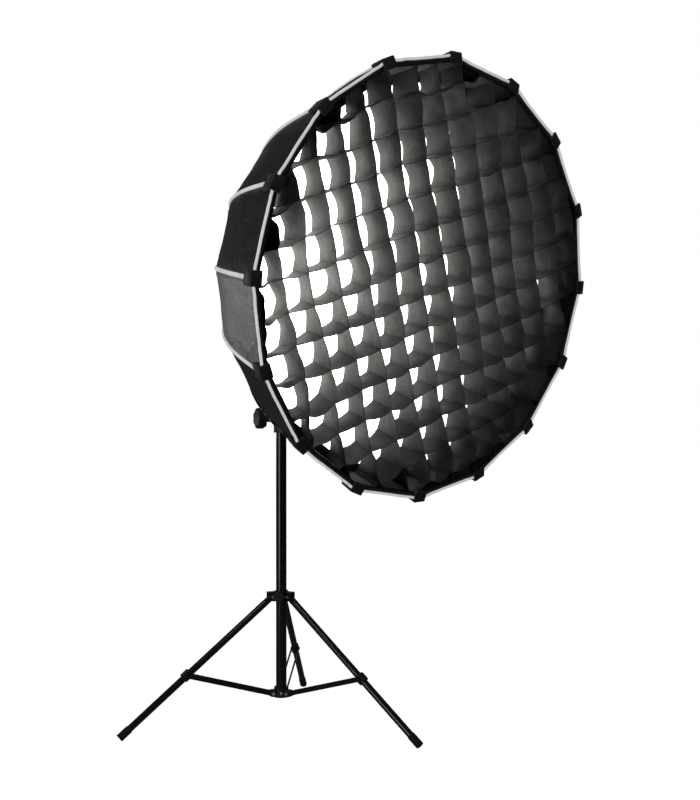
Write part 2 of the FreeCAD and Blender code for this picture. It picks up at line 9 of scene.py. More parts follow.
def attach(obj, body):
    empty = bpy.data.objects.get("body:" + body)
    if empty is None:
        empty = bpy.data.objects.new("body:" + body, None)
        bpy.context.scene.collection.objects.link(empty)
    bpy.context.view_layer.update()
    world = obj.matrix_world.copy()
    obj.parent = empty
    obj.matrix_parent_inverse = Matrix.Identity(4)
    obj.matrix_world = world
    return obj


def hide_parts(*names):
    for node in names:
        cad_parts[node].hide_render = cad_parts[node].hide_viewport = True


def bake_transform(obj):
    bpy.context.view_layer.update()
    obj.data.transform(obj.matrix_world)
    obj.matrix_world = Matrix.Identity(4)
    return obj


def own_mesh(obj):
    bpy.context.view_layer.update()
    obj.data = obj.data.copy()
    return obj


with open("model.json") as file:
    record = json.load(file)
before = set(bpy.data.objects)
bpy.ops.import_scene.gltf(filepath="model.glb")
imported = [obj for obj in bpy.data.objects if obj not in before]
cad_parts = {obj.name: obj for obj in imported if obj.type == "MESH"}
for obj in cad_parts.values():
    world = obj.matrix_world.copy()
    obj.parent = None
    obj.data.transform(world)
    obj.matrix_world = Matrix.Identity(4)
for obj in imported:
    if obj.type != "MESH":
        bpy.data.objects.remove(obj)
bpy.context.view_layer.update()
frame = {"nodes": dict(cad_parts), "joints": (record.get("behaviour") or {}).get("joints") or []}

# --- camera ---------------------------------------------------------------------------------------
# A long-side 36 mm sensor at chest height, to the left of the light and a little below its middle.
camera_place = Vector((-1.62375, -2.05276, 0.69526))
camera_yaw = math.radians(39.55)
camera_pitch = math.radians(1.42)
camera_roll = math.radians(-0.10)
camera = bpy.data.objects.new("camera", bpy.data.cameras.new("camera"))
camera.data.lens = 51.9
camera.data.sensor_width = 36.0
camera.matrix_world = (
    Matrix.Translation(camera_place)
    @ Matrix.Rotation(-camera_yaw, 4, "Z")
    @ Matrix.Rotation(math.radians(90) + camera_pitch, 4, "X")
    @ Matrix.Rotation(camera_roll, 4, "Z"))
bpy.context.scene.collection.objects.link(camera)
bpy.context.scene.camera = camera

# --- studio ---------------------------------------------------------------------------------------
# A white sweep that stays white behind the object, with dim fill from it, and soft area lights.
scene = bpy.context.scene
scene.view_settings.view_transform = "Standard"
world = bpy.data.worlds.new("studio")
scene.world = world
world.use_nodes = True
world_nodes = world.node_tree.nodes
world_links = world.node_tree.links
backdrop = world_nodes["Background"]
fill_light = world_nodes.new("ShaderNodeBackground")
fill_light.inputs["Color"].default_value = (0.97, 0.98, 1.0, 1)
fill_light.inputs["Strength"].default_value = 0.045
backdrop.inputs["Color"].default_value = (1, 1, 1, 1)
backdrop.inputs["Strength"].default_value = 1.0
seen_directly = world_nodes.new("ShaderNodeLightPath")
world_mix = world_nodes.new("ShaderNodeMixShader")
world_links.new(seen_directly.outputs["Is Camera Ray"], world_mix.inputs["Fac"])
world_links.new(fill_light.outputs["Background"], world_mix.inputs[1])
world_links.new(backdrop.outputs["Background"], world_mix.inputs[2])
world_links.new(world_mix.outputs["Shader"], world_nodes["World Output"].inputs["Surface"])

floor_mesh = bpy.data.meshes.new("floor")
floor_sheet = bmesh.new()
bmesh.ops.create_grid(floor_sheet, x_segments=1, y_segments=1, size=30)
floor_sheet.to_mesh(floor_mesh)
floor_sheet.free()
floor = bpy.data.objects.new("floor", floor_mesh)
floor.location.z = -0.0005
scene.collection.objects.link(floor)
floor_paper = bpy.data.materials.new("floor_paper")
floor_paper.use_nodes = True
floor_nodes = floor_paper.node_tree.nodes
floor_links = floor_paper.node_tree.links
floor_nodes["Principled BSDF"].inputs["Base Color"].default_value = (0.35, 0.35, 0.35, 1)
floor_nodes["Principled BSDF"].inputs["Roughness"].default_value = 0.9
floor_glow = floor_nodes.new("ShaderNodeEmission")
floor_glow.inputs["Strength"].default_value = 1.12
floor_path = floor_nodes.new("ShaderNodeLightPath")
floor_share = floor_nodes.new("ShaderNodeMath")
floor_share.operation = "MULTIPLY"
floor_share.inputs[1].default_value = 0.93
floor_mix = floor_nodes.new("ShaderNodeMixShader")
floor_links.new(floor_path.outputs["Is Camera Ray"], floor_share.inputs[0])
floor_links.new(floor_share.outputs[0], floor_mix.inputs["Fac"])
floor_links.new(floor_nodes["Principled BSDF"].outputs["BSDF"], floor_mix.inputs[1])
floor_links.new(floor_glow.outputs["Emission"], floor_mix.inputs[2])
floor_links.new(floor_mix.outputs["Shader"], floor_nodes["Material Output"].inputs["Surface"])
floor_mesh.materials.append(floor_paper)


def soft_light(name, place, aim, size, power, colour=(1, 1, 1)):
    light = bpy.data.objects.new(name, bpy.data.lights.new(name, "AREA"))
    light.data.shape = "RECTANGLE"
    light.data.size = size[0]
    light.data.size_y = size[1]
    light.data.energy = power
    light.data.color = colour
    light.location = place
    light.rotation_euler = (Vector(aim) - Vector(place)).to_track_quat("-Z", "Y").to_euler()
    scene.collection.objects.link(light)


soft_light("side_light", (-2.5, -0.3, 0.35), (-0.3, -0.1, 0.8), (0.9, 1.4), 9)
soft_light("front_light", (0.3, -3.4, 1.9), (0, 0, 0.6), (1.6, 1.2), 5)
soft_light("back_light", (1.8, 2.4, 1.9), (0, 0.1, 0.8), (1.4, 1.4), 3)
soft_light("low_back_light", (-0.8, 3.0, 1.0), (-0.3, 0.2, 1.0), (1.6, 0.7), 7)
soft_light("top_strip", (-1.1, -0.5, 2.3), (-0.05, 0.1, 0.2), (0.25, 1.0), 3)

# --- outer gores ----------------------------------------------------------------------------------
# Sixteen gores of black coated nylon, sewn edge to edge over the sprung ribs. Each piece here is the
# cloth from the middle of one gore to the middle of the next, which its rib carries when it folds.
ribs = range(1, 17)
half_step = math.pi / 16
hinge_forward = 0.13375
hinge_radius = 0.095
rib_poles = [Vector((0.13375, 0.095)), Vector((0.13375, 0.320)),
             Vector((0.29275, 0.3825)), Vector((0.54275, 0.4448))]
cloth_lift = 0.0046
cloth_thick = 0.0012
gore_start = 0.02
gore_sag = 0.0015
seam_round = 0.003
edge_overlap = 0.0004
gore_cells = 22
gore_cell = 2 / gore_cells
lap_cells = 2
lap_width = 0.030
lap_drop = 0.0016
lap_end = 0.75
joints = {joint["name"]: joint for joint in frame["joints"]}
forward = Vector(joints["mount_twist"]["axis"])


def rib_name(number):
    return "rib_%02d" % number


def rib_place(number):
    """Local X along the rim, -Y the way the light faces, Z out along the rib, from the tilt pivot."""
    hinge = joints["rib_fold_%02d" % number]
    along_rim = Vector(hinge["axis"])
    outward = forward.cross(along_rim)
    origin = Vector(hinge["pos_m"]) - outward * hinge_radius - forward * hinge_forward
    turn = Matrix((along_rim, -forward, outward)).transposed().to_4x4()
    return Matrix.Translation(origin) @ turn


def rib_point(share):
    """Distance forward and radius of the rib at a share of its curve."""
    rest = 1 - share
    return (rib_poles[0] * rest ** 3 + rib_poles[1] * 3 * rest ** 2 * share
            + rib_poles[2] * 3 * rest * share ** 2 + rib_poles[3] * share ** 3)


def rib_normal(share):
    ahead = rib_point(share + 0.002) - rib_point(share - 0.002)
    return Vector((-ahead.y, ahead.x)).normalized()


def cloth_point(across, share, lift):
    """A point on the gores; across runs from -1 to 1, mid gore to mid gore."""
    place = rib_point(share) + rib_normal(share) * lift
    to_middle = (place.y + seam_round * math.tan(half_step)) * math.cos(half_step) * math.sin(half_step)
    side = across * (to_middle + edge_overlap)
    drop = (math.hypot(side, seam_round) - seam_round) * math.tan(half_step)
    return Vector((side, -place.x, place.y - drop))


def add_piece(name, mesh_code, materials, body, smooth=True):
    """Turns finished mesh code into a piece that rides on a CAD body."""
    for edge in mesh_code.edges:
        if edge.is_boundary:
            edge.smooth = False
    mesh = bpy.data.meshes.new(name)
    mesh_code.to_mesh(mesh)
    mesh_code.free()
    for material in materials:
        mesh.materials.append(material)
    mesh.polygons.foreach_set("use_smooth", [smooth] * len(mesh.polygons))
    piece = bpy.data.objects.new(name, mesh)
    scene.collection.objects.link(piece)
    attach(piece, body)
    return piece


def thicken(piece, thickness, offset=0.0):
    wall = piece.modifiers.new("thickness", "SOLIDIFY")
    wall.thickness = thickness
    wall.offset = offset
    wall.use_even_offset = False


def squash_with_rib(piece):
    """Gives a piece its own copy of its mesh data."""
    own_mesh(piece)


def new_material(name, colour, roughness, **sockets):
    """A Principled material whose constants sit on the shader's own sockets."""
    material = bpy.data.materials.new(name)
    material.use_nodes = True
    shader = material.node_tree.nodes["Principled BSDF"]
    shader.inputs["Base Color"].default_value = (*colour, 1)
    shader.inputs["Roughness"].default_value = roughness
    for socket, value in sockets.items():
        shader.inputs[socket.replace("_", " ")].default_value = value
    return material


def add_node(material, kind, *sources, **settings):
    """A node with its settings, and its first inputs joined to the given outputs."""
    node = material.node_tree.nodes.new("ShaderNode" + kind)
    for key, value in settings.items():
        if hasattr(node, key):
            setattr(node, key, value)
        else:
            node.inputs[key.replace("_", " ")].default_value = value
    for index, source in enumerate(sources):
        if source is not None:
            material.node_tree.links.new(source, node.inputs[index])
    return node


def to_shader(material, output, socket):
    shader = material.node_tree.nodes["Principled BSDF"]
    material.node_tree.links.new(output, shader.inputs[socket])


def colour_between(material, factor, dark, light, low=0.3, high=0.7):
    """Base colour that wanders between two tones with a factor."""
    ramp = add_node(material, "ValToRGB", factor)
    ramp.color_ramp.elements[0].position = low
    ramp.color_ramp.elements[0].color = (*dark, 1)
    ramp.color_ramp.elements[1].position = high
    ramp.color_ramp.elements[1].color = (*light, 1)
    to_shader(material, ramp.outputs["Color"], "Base Color")


def add_bump(material, height, strength, distance, under=None):
    bump = add_node(material, "Bump", Strength=strength, Distance=distance)
    material.node_tree.links.new(height, bump.inputs["Height"])
    if under is not None:
        material.node_tree.links.new(under, bump.inputs["Normal"])
    to_shader(material, bump.outputs["Normal"], "Normal")
    return bump.outputs["Normal"]


wave_scale = 0.314


def add_weave(material, coords, thread, strength):
    """Crossing threads as two bands of waves; thread is their spacing."""
    bands = {"Scale": wave_scale / thread, "Distortion": 0.4}
    warp = add_node(material, "TexWave", coords, bands_direction="X", **bands)
    weft = add_node(material, "TexWave", coords, bands_direction="Y", **bands)
    cross = add_node(material, "Math", warp.outputs["Fac"], weft.outputs["Fac"], operation="MULTIPLY")
    return add_bump(material, cross.outputs[0], strength, thread * 0.2)


thread_spacing = 0.0012
stitch_spacing = 0.0085
stitch_length = 0.004
nylon = new_material("black_nylon", (0.02, 0.02, 0.022), 0.33, Sheen_Weight=0.05, Sheen_Roughness=0.4)
nylon_uv = add_node(nylon, "UVMap", uv_map="cloth").outputs["UV"]
nylon_threads = add_weave(nylon, nylon_uv, thread_spacing, 0.35)
nylon_place = add_node(nylon, "TexCoord").outputs["Object"]
nylon_mottle = add_node(nylon, "TexNoise", nylon_place, Scale=26, Detail=5, Roughness=0.6)
colour_between(nylon, nylon_mottle.outputs["Fac"], (0.010, 0.010, 0.011), (0.026, 0.026, 0.029))
nylon_axes = add_node(nylon, "SeparateXYZ", nylon_uv)
seam_side = add_node(nylon, "Math", nylon_axes.outputs["X"], operation="ABSOLUTE")
seam_row = add_node(nylon, "Math", seam_side.outputs[0], operation="PINGPONG")
seam_row.inputs[1].default_value = stitch_spacing
stitch_line = add_node(nylon, "Math", seam_row.outputs[0], operation="COMPARE")
stitch_line.inputs[1].default_value = 0.0078
stitch_line.inputs[2].default_value = 0.0005
near_seam = add_node(nylon, "Math", seam_side.outputs[0], operation="LESS_THAN")
near_seam.inputs[1].default_value = 0.012
stitch_gap = add_node(nylon, "TexWave", nylon_uv, bands_direction="Y", Scale=wave_scale / stitch_length)
stitches = add_node(nylon, "Math", stitch_line.outputs[0], near_seam.outputs[0], operation="MULTIPLY")
dashes = add_node(nylon, "Math", stitches.outputs[0], stitch_gap.outputs["Fac"], operation="MULTIPLY")
nylon_relief = add_bump(nylon, dashes.outputs[0], 0.8, 0.0006, nylon_threads)
nylon_creases = add_node(nylon, "TexNoise", nylon_place, Scale=34, Detail=3, Distortion=1.2)
add_bump(nylon, nylon_creases.outputs["Fac"], 0.35, 0.004, nylon_relief)
nylon_wear = add_node(nylon, "MapRange", nylon_mottle.outputs["Fac"])
nylon_wear.inputs["To Min"].default_value = 0.28
nylon_wear.inputs["To Max"].default_value = 0.42
to_shader(nylon, nylon_wear.outputs["Result"], "Roughness")


def cloth_grid(mesh_code, across_cells, along_cells, point):
    """A cut panel: a flat grid laid onto point(across, along), with its cloth UV in metres."""
    made = bmesh.ops.create_grid(mesh_code, x_segments=across_cells, y_segments=along_cells,
                                 size=1, calc_uvs=False)
    uv = mesh_code.loops.layers.uv.get("cloth") or mesh_code.loops.layers.uv.new("cloth")
    for vert in made["verts"]:
        across, along = vert.co.x, (vert.co.y + 1) / 2
        vert.co = point(across, along)
        for loop in vert.link_loops:
            loop[uv].uv = (vert.co.x, along * 0.6)
    return made["verts"]


def gore_surface(number):
    """The cloth over one rib; past across = 1 it is the allowance that lies under the next piece."""
    def point(across, along):
        share = gore_start + (1 - gore_start) * along
        beyond = max(0.0, across - 1) / (lap_cells * gore_cell)
        lapped = min(1.0, max(0.05, (lap_end - along) / 0.15))
        across = min(1.0, across)
        inward = across * across * (3 - 2 * abs(across))
        lift = cloth_lift - gore_sag * inward * math.sin(math.pi * min(share, 0.97)) ** 0.7
        quiet = (1 - abs(across)) * min(1, abs(across) * 5)
        pull = noise.noise(Vector((across * 2.4, share * 9, number * 7.3)))
        pull += 0.6 * noise.noise(Vector((across * 6, share * 22 - abs(across) * 5, number * 3.1)))
        lift += 0.0022 * quiet * pull
        spot = cloth_point(across, share, lift - lap_drop * lapped * min(1.0, lap_cells * beyond))
        if along > 0.9:
            spot.y += 0.002 * inward * (along - 0.9) * 10
        lap = min(lap_width, 0.8 * spot.x) * lapped * beyond
        return spot + Vector((lap, 0, -lap * math.tan(half_step)))
    return point


for number in ribs:
    gore_code = bmesh.new()
    surface = gore_surface(number)
    cloth_grid(gore_code, gore_cells + lap_cells, 56,
               lambda across, along: surface(across + (across + 1) * lap_cells / gore_cells, along))
    bmesh.ops.transform(gore_code, matrix=rib_place(number), verts=gore_code.verts)
    bmesh.ops.recalc_face_normals(gore_code, faces=gore_code.faces)
    gore = add_piece("gore_%02d" % number, gore_code, [nylon], rib_name(number))
    thicken(gore, cloth_thick)
    squash_with_rib(gore)
    if number == 1:
        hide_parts("outer_shell")

# --- seam piping ----------------------------------------------------------------------------------
# Piping of folded nylon tape over a cord, sewn into every seam from the speed ring to the pocket:
# white with a painted glow on the upper and side seams, black on the five under the box.
piping_start = 0.044
piping_end = 0.975
piping_width = 0.0042
piping_height = 0.0028
black_seams = range(7, 12)
# The tape's emission is a painted glow: it brightens the white tape beyond the light that falls on it.
tape = new_material("white_tape_painted_glow", (0.8, 0.8, 0.8), 0.55, Sheen_Weight=0.2,
                    Emission_Color=(1, 1, 1, 1), Emission_Strength=0.45)
tape_place = add_node(tape, "TexCoord").outputs["Object"]
tape_ribbing = add_node(tape, "TexWave", tape_place, Scale=150, Distortion=2.0, bands_direction="DIAGONAL")
tape_dirt = add_node(tape, "TexNoise", tape_place, Scale=60, Detail=4)
colour_between(tape, tape_dirt.outputs["Fac"], (0.66, 0.66, 0.68), (0.86, 0.86, 0.86))
add_bump(tape, tape_ribbing.outputs["Fac"], 0.3, 0.0005)

black_tape = new_material("black_tape", (0.012, 0.012, 0.013), 0.5, Sheen_Weight=0.2)
black_tape_place = add_node(black_tape, "TexCoord").outputs["Object"]
black_tape_tone = add_node(black_tape, "TexNoise", black_tape_place, Scale=60, Detail=4)
colour_between(black_tape, black_tape_tone.outputs["Fac"], (0.008, 0.008, 0.009), (0.02, 0.02, 0.022))


def sweep(mesh_code, placements, segments, lobes=0, lobe_depth=0.0):
    """A closed bar, round or lobed, carried through a row of placements of its unit outline."""
    start = bmesh.ops.create_circle(mesh_code, cap_ends=True, segments=segments, radius=1)["verts"]
    for vert in start:
        hollow = 0.5 - 0.5 * math.cos(lobes * math.atan2(vert.co.y, vert.co.x))
        vert.co *= 1 - lobe_depth * hollow ** 1.5
    bmesh.ops.transform(mesh_code, matrix=placements[0], verts=start)
    face = start[0].link_faces[0]
    for before, after in zip(placements, placements[1:]):
        made = bmesh.ops.extrude_face_region(mesh_code, geom=[face])["geom"]
        verts = [part for part in made if isinstance(part, bmesh.types.BMVert)]
        face = [part for part in made if isinstance(part, bmesh.types.BMFace)][0]
        bmesh.ops.transform(mesh_code, matrix=after @ before.inverted(), verts=verts)
    bmesh.ops.recalc_face_normals(mesh_code, faces=mesh_code.faces)


def section_at(spot, side, up, half_width, half_height):
    """The placement of an oval section with its width along side and its height along up."""
    normal = side.cross(up)
    turn = Matrix((side * half_width, up * half_height, normal)).transposed().to_4x4()
    return Matrix.Translation(spot) @ turn


for number in ribs:
    placements = []
    for step in range(45):
        share = piping_start + (piping_end - piping_start) * step / 44
        normal = rib_normal(share)
        spot = cloth_point(0, share, cloth_lift + 0.0016)
        wander = 0.0005 * noise.noise(Vector((step * 0.35, number * 5.1, 0)))
        placements.append(section_at(spot + Vector((wander, 0, 0)), Vector((1, 0, 0)),
                                     Vector((0, -normal.x, normal.y)), piping_width, piping_height))
    piping_code = bmesh.new()
    sweep(piping_code, placements, 10)
    bmesh.ops.transform(piping_code, matrix=rib_place(number), verts=piping_code.verts)
    tape_used = black_tape if number in black_seams else tape
    add_piece("seam_piping_%02d" % number, piping_code, [tape_used], rib_name(number))

# --- neck cloth -----------------------------------------------------------------------------------
# An elastic band of the same nylon that closes the back: sewn to the gores' inner edges, over the ends
# of the piping, and drawn in over the back of the speed ring. It rises over each rib where the ribs leave
# the ring.
neck_inner = Vector((0.1226, 0.080))
neck_bend = Vector((0.1230, 0.101))
neck_share = 0.047
neck_lift = cloth_lift + 0.0018


def neck_surface(across, along):
    if along >= 0.5:
        share = gore_start + (neck_share - gore_start) * (along - 0.5) * 2
        spot = cloth_point(across, share, neck_lift)
        bump = 0.0036 * math.exp(-(spot.x / 0.006) ** 2) * (along - 0.5) * 2
        gathers = 0.0006 * noise.noise(Vector((across * 9, along * 2, 4.7)))
        return spot + Vector((0, bump + gathers, 0))
    inner = neck_inner.lerp(neck_bend, min(1.0, along / 0.3))
    outer = cloth_point(across, gore_start, neck_lift)
    angle = across * half_step
    spot = Vector((inner.y * math.sin(angle), -inner.x, inner.y * math.cos(angle)))
    spot = spot.lerp(outer, max(0.0, (along - 0.3) / 0.2))
    free = math.sin(math.pi * min(1, along * 2))
    gathers = 0.0008 * noise.noise(Vector((across * 14, along * 3, 9.1))) * free
    return spot + Vector((0, gathers, 0))


for number in ribs:
    place = rib_place(number)
    neck_code = bmesh.new()
    cloth_grid(neck_code, 24, 20, neck_surface)
    bmesh.ops.transform(neck_code, matrix=place, verts=neck_code.verts)
    bmesh.ops.recalc_face_normals(neck_code, faces=neck_code.faces)
    neck = add_piece("neck_cloth_%02d" % number, neck_code, [nylon], "softbox")
    neck.parent = None
    thicken(neck, cloth_thick)
    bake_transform(neck)

# --- rim binding ----------------------------------------------------------------------------------
# The same white tape with its painted glow, folded round the front edge of the gores from tip to tip.
binding_radius = 0.0028
for number in ribs:
    placements = []
    edge_point = gore_surface(number)
    for step in range(27):
        across = -1 + 2 * step / 26
        spot = edge_point(across, 1) + Vector((0, -0.001, 0))
        placements.append(section_at(spot, Vector((0, -1, 0)), Vector((0, 0, 1)),
                                     binding_radius, binding_radius))
    binding_code = bmesh.new()
    sweep(binding_code, placements, 12)
    bmesh.ops.transform(binding_code, matrix=rib_place(number), verts=binding_code.verts)
    binding = add_piece("rim_binding_%02d" % number, binding_code, [tape], rib_name(number))
    squash_with_rib(binding)

# --- rib-tip pockets ------------------------------------------------------------------------------
# A short length of heavy black webbing folded over each rib tip and box-stitched to the rim.
pocket_half_width = 0.015
stitch_half_width = 0.0115
stitch_rows = (0.002, 0.030)
webbing = new_material("black_webbing", (0.012, 0.012, 0.013), 0.6, Sheen_Weight=0.3)
webbing_place = add_node(webbing, "TexCoord").outputs["Object"]
webbing_rows = add_node(webbing, "TexWave", webbing_place, Scale=110, Distortion=1.0)
webbing_fuzz = add_node(webbing, "TexNoise", webbing_place, Scale=300, Detail=3)
colour_between(webbing, webbing_fuzz.outputs["Fac"], (0.006, 0.006, 0.007), (0.022, 0.022, 0.024))
add_bump(webbing, webbing_rows.outputs["Fac"], 0.5, 0.0006)


def rounded_block(mesh_code, low, high, edge, segments=2, matrix=None):
    """A block between two corners with every edge rounded."""
    made = bmesh.ops.create_cube(mesh_code, size=1)["verts"]
    low, high = Vector(low), Vector(high)
    for vert in made:
        vert.co = Vector([(low[i] + high[i]) / 2 + vert.co[i] * (high[i] - low[i]) for i in range(3)])
    edges = list({link for vert in made for link in vert.link_edges})
    done = bmesh.ops.bevel(mesh_code, geom=edges, offset=edge, offset_type="OFFSET", affect="EDGES",
                           segments=segments, profile=0.5, material=-1)
    verts = list({vert for face in done["faces"] for vert in face.verts} | {v for v in made if v.is_valid})
    if matrix is not None:
        bmesh.ops.transform(mesh_code, matrix=matrix, verts=verts)
    return verts


rim_point = rib_point(1)
rim_slope = math.radians(14)
at_rim = Matrix.Translation((0, -rim_point.x, rim_point.y + cloth_lift))
at_rim @= Matrix.Rotation(-rim_slope, 4, "X")
for number in ribs:
    pocket_code = bmesh.new()
    rounded_block(pocket_code, (-pocket_half_width, -0.0055, -0.017),
                  (pocket_half_width, 0.0005, 0.0065), 0.0018)
    rounded_block(pocket_code, (-pocket_half_width, -0.0050, -0.0005),
                  (pocket_half_width, 0.034, 0.0062), 0.0018)
    for side in (-stitch_half_width, stitch_half_width):
        rounded_block(pocket_code, (side - 0.0006, 0.001, 0.0060),
                      (side + 0.0006, 0.031, 0.0068), 0.0003, 1)
    for row in stitch_rows:
        rounded_block(pocket_code, (-stitch_half_width, row - 0.0006, 0.0060),
                      (stitch_half_width, row + 0.0006, 0.0068), 0.0003, 1)
    bmesh.ops.transform(pocket_code, matrix=rib_place(number) @ at_rim, verts=pocket_code.verts)
    pocket = add_piece("tip_pocket_%02d" % number, pocket_code, [webbing], rib_name(number))
    if number == 1:
        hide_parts("tip_pockets")

# --- rim facing -----------------------------------------------------------------------------------
# A black facing sewn inside the rim, with the loop tape that holds the diffuser and the grid.
facing_front = 0.540
facing_lip = 0.011
facing_depth = 0.066
facing_thick = 0.0008
loop_tape = new_material("loop_tape", (0.012, 0.012, 0.012), 0.85, Sheen_Weight=0.5)
loop_place = add_node(loop_tape, "TexCoord").outputs["Object"]
loop_pile = add_node(loop_tape, "TexVoronoi", loop_place, Scale=700)
colour_between(loop_tape, loop_pile.outputs["Distance"], (0.006, 0.006, 0.006), (0.02, 0.02, 0.02))
add_bump(loop_tape, loop_pile.outputs["Distance"], 0.6, 0.0008)


def facing_surface(across, along):
    outer = rim_point.y + cloth_lift - 0.001
    run = along * (facing_lip + facing_depth)
    reach = max(0.0, run - facing_lip)
    radius = outer - min(run, facing_lip) - reach * math.tan(rim_slope)
    side = across * radius * math.cos(half_step) * math.sin(half_step)
    return Vector((side, -facing_front + reach, radius - abs(side) * math.tan(half_step)))


for number in ribs:
    facing_code = bmesh.new()
    cloth_grid(facing_code, 12, 12, facing_surface)
    bmesh.ops.transform(facing_code, matrix=rib_place(number), verts=facing_code.verts)
    bmesh.ops.recalc_face_normals(facing_code, faces=facing_code.faces)
    facing = add_piece("rim_facing_%02d" % number, facing_code, [loop_tape], rib_name(number))
    thicken(facing, facing_thick)
    squash_with_rib(facing)
    if number == 1:
        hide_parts("front_band")

# --- front diffuser -------------------------------------------------------------------------------
# White ripstop diffusion cloth stretched behind the grid and lit from behind by the lamp, with a black
# hook-tape border. Sixteen sectors follow the softbox at the middle and the ribs at the edge.
diffuser_forward = 0.4758
diffuser_radius = 0.4250
diffuser_thick = 0.0008
hook_border = 0.023
diffusion = new_material("diffusion_cloth", (0.9, 0.9, 0.88), 0.7, Emission_Color=(1.0, 0.975, 0.94, 1))
diffusion_place = add_node(diffusion, "TexCoord").outputs["Object"]
hot_spot = add_node(diffusion, "Mapping", diffusion_place)
hot_spot.inputs["Location"].default_value = (0.34, 0.38, -1.95)
hot_spot.inputs["Scale"].default_value = (1.3, 1.3, 1.9)
diffusion_glow = add_node(diffusion, "TexGradient", hot_spot.outputs["Vector"], gradient_type="SPHERICAL")
glow_range = add_node(diffusion, "MapRange", diffusion_glow.outputs["Fac"])
glow_range.inputs["To Min"].default_value = 1.6
glow_range.inputs["To Max"].default_value = 7.5
to_shader(diffusion, glow_range.outputs["Result"], "Emission Strength")
diffusion_uv = add_node(diffusion, "UVMap", uv_map="cloth").outputs["UV"]
add_weave(diffusion, diffusion_uv, 0.002, 0.2)


def diffuser_surface(across, along):
    radius = diffuser_radius * along
    side = across * radius * math.cos(half_step) * math.sin(half_step)
    return Vector((side, -diffuser_forward, radius - abs(side) * math.tan(half_step)))


for number in ribs:
    place = rib_place(number)
    diffuser_code = bmesh.new()
    cloth_grid(diffuser_code, 8, 37, diffuser_surface)
    bmesh.ops.remove_doubles(diffuser_code, verts=diffuser_code.verts, dist=1e-6)
    for face in diffuser_code.faces:
        middle = face.calc_center_median()
        reach = middle.z + abs(middle.x) * math.tan(half_step)
        face.material_index = 1 if reach > diffuser_radius - hook_border else 0
    bmesh.ops.transform(diffuser_code, matrix=place, verts=diffuser_code.verts)
    bmesh.ops.recalc_face_normals(diffuser_code, faces=diffuser_code.faces)
    diffuser = add_piece("front_diffuser_%02d" % number, diffuser_code, [diffusion, loop_tape],
                         "softbox")
    diffuser.parent = None
    thicken(diffuser, diffuser_thick)
    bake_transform(diffuser)
    if number == 1:
        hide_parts("front_diffuser")

# --- fabric grid ----------------------------------------------------------------------------------
# Strips of dark cloth 66 mm deep, sewn across each other into square cells and into a ring that
# hooks inside the rim. Only the crossings are held, so each cell's walls belly and droop.
cell = 0.0634
grid_depth = 0.066
grid_back = 0.4770
grid_radius = 0.4245
grid_flare = 0.0135
lattice_flare = 0.018
column_shift = 0.0274
row_shift = -0.0156
lattice_slant = math.radians(-18.1)
grid_thick = 0.0009
grid_cloth = new_material("grid_cloth", (0.035, 0.033, 0.031), 0.85)
grid_place = add_node(grid_cloth, "TexCoord").outputs["Object"]
grid_tone = add_node(grid_cloth, "TexNoise", grid_place, Scale=45, Detail=4)
colour_between(grid_cloth, grid_tone.outputs["Fac"], (0.032, 0.0312, 0.0305), (0.058, 0.0567, 0.0555))
grid_threads = add_node(grid_cloth, "TexNoise", grid_place, Scale=900, Detail=2)
grid_folds = add_node(grid_cloth, "TexNoise", grid_place, Scale=55, Detail=3, Distortion=1.5)
grid_weave = add_bump(grid_cloth, grid_threads.outputs["Fac"], 0.3, 0.0004)
add_bump(grid_cloth, grid_folds.outputs["Fac"], 0.45, 0.004, grid_weave)
# A darker copy of the same grid cloth: painted shade for the row strips and the ring, not a different
# cloth.
painted_shade_grid_cloth = grid_cloth.copy()
painted_shade_grid_cloth.name = "grid_cloth_cross_grain"
for part in painted_shade_grid_cloth.node_tree.nodes:
    if part.type == "VALTORGB":
        part.color_ramp.elements[0].color = (0.006, 0.0057, 0.0054, 1)
        part.color_ramp.elements[1].color = (0.013, 0.0122, 0.0115, 1)
lattice = rib_place(1) @ Matrix.Rotation(lattice_slant, 4, "Y")


def wall_offset(kind, line, along, depth, radius):
    """How far a wall leaves its plane: it bows in mid cell, and an upright one trails to one side."""
    cells = along / cell
    index = math.floor(cells)
    bow = math.sin(math.pi * (cells - index))
    seed = Vector((index * 3.7 + line * 11.3, line * 5.9, 0.5 if kind == "column" else 40.5))
    chance = noise.noise(seed)
    crumple = max(0.0, (radius - 0.33) / 0.08)
    lean = 0.0
    if kind == "column":
        lean = (0.003 + 0.03 * max(0.0, along)) * (1 - depth)
        back_belly = 0.0095 + 0.008 * chance
        front_belly = 0.0025 + 0.007 * noise.noise(seed * 1.7)
    else:
        back_belly = -0.0065 - 0.006 * chance
        front_belly = -0.0035 - 0.005 * noise.noise(seed * 1.9)
    belly = back_belly * (1 - depth) + front_belly * depth
    ripple = noise.noise(Vector((along * 34, depth * 1.6, line * 9.1 + (0 if kind == "column" else 60))))
    return bow * (belly + (0.0022 + 0.010 * crumple) * ripple) - lean


def lattice_drift(spot, depth):
    """The whole lattice wanders a little, more near the rim; crossings move together."""
    slack = 0.008 + 0.016 * max(0.0, (math.hypot(spot.x, spot.z) - 0.32) / 0.1)
    seed = Vector((spot.x * 7, depth * 0.9, spot.z * 7))
    return Vector((noise.noise(seed), 0, noise.noise(seed + Vector((31.7, 5.3, 12.9))))) * slack


